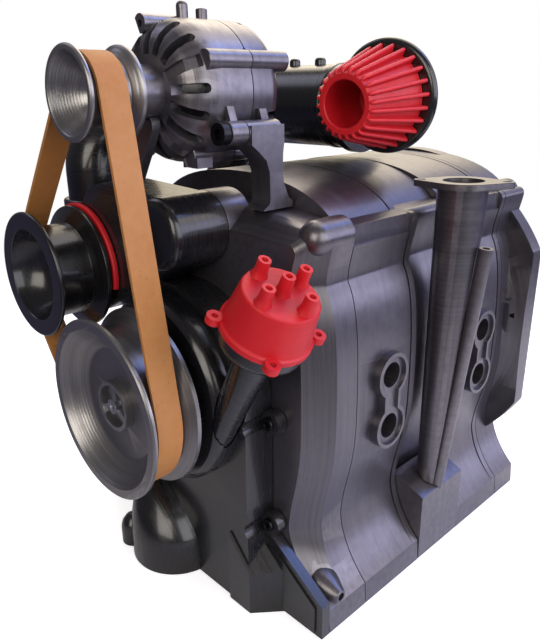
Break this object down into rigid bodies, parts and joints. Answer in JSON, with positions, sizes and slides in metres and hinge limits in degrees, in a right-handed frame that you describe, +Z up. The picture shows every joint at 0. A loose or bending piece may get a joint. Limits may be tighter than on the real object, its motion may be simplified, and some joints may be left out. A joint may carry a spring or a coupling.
{
  "type": "rotary engine model",
  "caption": "Small display model of a twin-rotor rotary engine with belt-driven pump and alternator, distributor, filler tube and cone air filter.",
  "frame": {"origin": "on the base plane under the shaft axis, in the middle of the intermediate housing", "axes": "+Z up, -Y towards the pulleys at the front, +X towards the plug side"},
  "size_m": [0.1333, 0.149, 0.1634],
  "materials": {
    "gunmetal_print": "satin, fine print layers",
    "silver_print": "satin silver",
    "black_print": "gloss black",
    "red_print": "gloss red",
    "belt_rubber": "matt tan",
    "steel": "bright",
    "black_screw": "black oxide",
    "bush_metal": "plain"
  },
  "bodies": {
    "engine_block": {"front_cover": "black_print", "front_side_housing": "gunmetal_print", "front_rotor_housing": "gunmetal_print", "intermediate_housing": "gunmetal_print", "rear_rotor_housing": "gunmetal_print", "rear_side_housing": "gunmetal_print", "tension_bolt_1": "steel", "tension_bolt_2": "steel", "tension_bolt_3": "steel", "tension_bolt_4": "steel", "front_stationary_gear": "steel", "rear_stationary_gear": "steel", "front_main_bearing": "bush_metal", "rear_main_bearing": "bush_metal", "cover_screw_1": "black_screw", "cover_screw_2": "black_screw", "cover_screw_3": "black_screw", "drive_belt": "belt_rubber", "water_pump_ring": "red_print", "water_pump_body": "black_print", "coolant_elbow": "black_print", "alternator_front_bell": "gunmetal_print", "alternator_rear_bell": "gunmetal_print", "alternator_stator": "steel", "alternator_bracket": "gunmetal_print", "adjusting_strap": "gunmetal_print", "clamp_screw": "black_screw", "distributor_body": "black_print", "distributor_cap": "red_print", "intake_manifold": "black_print", "throttle_barrel": "black_print", "throttle_elbow": "black_print", "filter_base_plate": "black_print", "air_filter": "red_print", "oil_filler_tube": "gunmetal_print", "dipstick_tube": "gunmetal_print"},
    "crankshaft": {"eccentric_shaft": "steel", "flywheel": "gunmetal_print", "crank_pulley": "silver_print", "crank_bolt": "steel"},
    "front_rotor_set": {"front_rotor": "silver_print", "front_rotor_bearing": "bush_metal", "front_apex_seal_1": "steel", "front_apex_seal_2": "steel", "front_apex_seal_3": "steel"},
    "rear_rotor_set": {"rear_rotor": "silver_print", "rear_rotor_bearing": "bush_metal", "rear_apex_seal_1": "steel", "rear_apex_seal_2": "steel", "rear_apex_seal_3": "steel"},
    "water_pump_spindle": {"water_pump_pulley": "black_print", "water_pump_impeller": "black_print", "water_pump_screw": "black_screw"},
    "alternator_spindle": {"alternator_pulley": "silver_print", "alternator_rotor": "steel"},
    "distributor_spindle": {"distributor_shaft": "black_print"}
  },
  "joints": [
    {"name": "crank_spin", "type": "hinge", "parent": "engine_block", "child": "crankshaft", "pos_m": [0, 0, 0.0625], "axis": [0, 1, 0], "continuous": true},
    {"name": "front_rotor_spin", "type": "hinge", "parent": "crankshaft", "child": "front_rotor_set", "pos_m": [0, -0.0249, 0.0675], "axis": [0, 1, 0], "continuous": true},
    {"name": "rear_rotor_spin", "type": "hinge", "parent": "crankshaft", "child": "rear_rotor_set", "pos_m": [0, 0.0249, 0.0575], "axis": [0, 1, 0], "continuous": true},
    {"name": "water_pump_spin", "type": "hinge", "parent": "engine_block", "child": "water_pump_spindle", "pos_m": [-0.032, -0.08, 0.0934], "axis": [0, 1, 0], "continuous": true},
    {"name": "alternator_spin", "type": "hinge", "parent": "engine_block", "child": "alternator_spindle", "pos_m": [0.0007, -0.08, 0.1417], "axis": [0, 1, 0], "continuous": true},
    {"name": "distributor_spin", "type": "hinge", "parent": "engine_block", "child": "distributor_spindle", "pos_m": [0.0174, -0.0667, 0.0456], "axis": [0.4671, 0, 0.8842], "continuous": true}
  ],
  "couplings": [
    {"joint": "front_rotor_spin", "follows": "crank_spin", "ratio": -0.66667},
    {"joint": "rear_rotor_spin", "follows": "crank_spin", "ratio": -0.66667},
    {"joint": "water_pump_spin", "follows": "crank_spin", "ratio": 1.5857},
    {"joint": "alternator_spin", "follows": "crank_spin", "ratio": 2.5227},
    {"joint": "distributor_spin", "follows": "crank_spin", "ratio": 0.5}
  ]
}
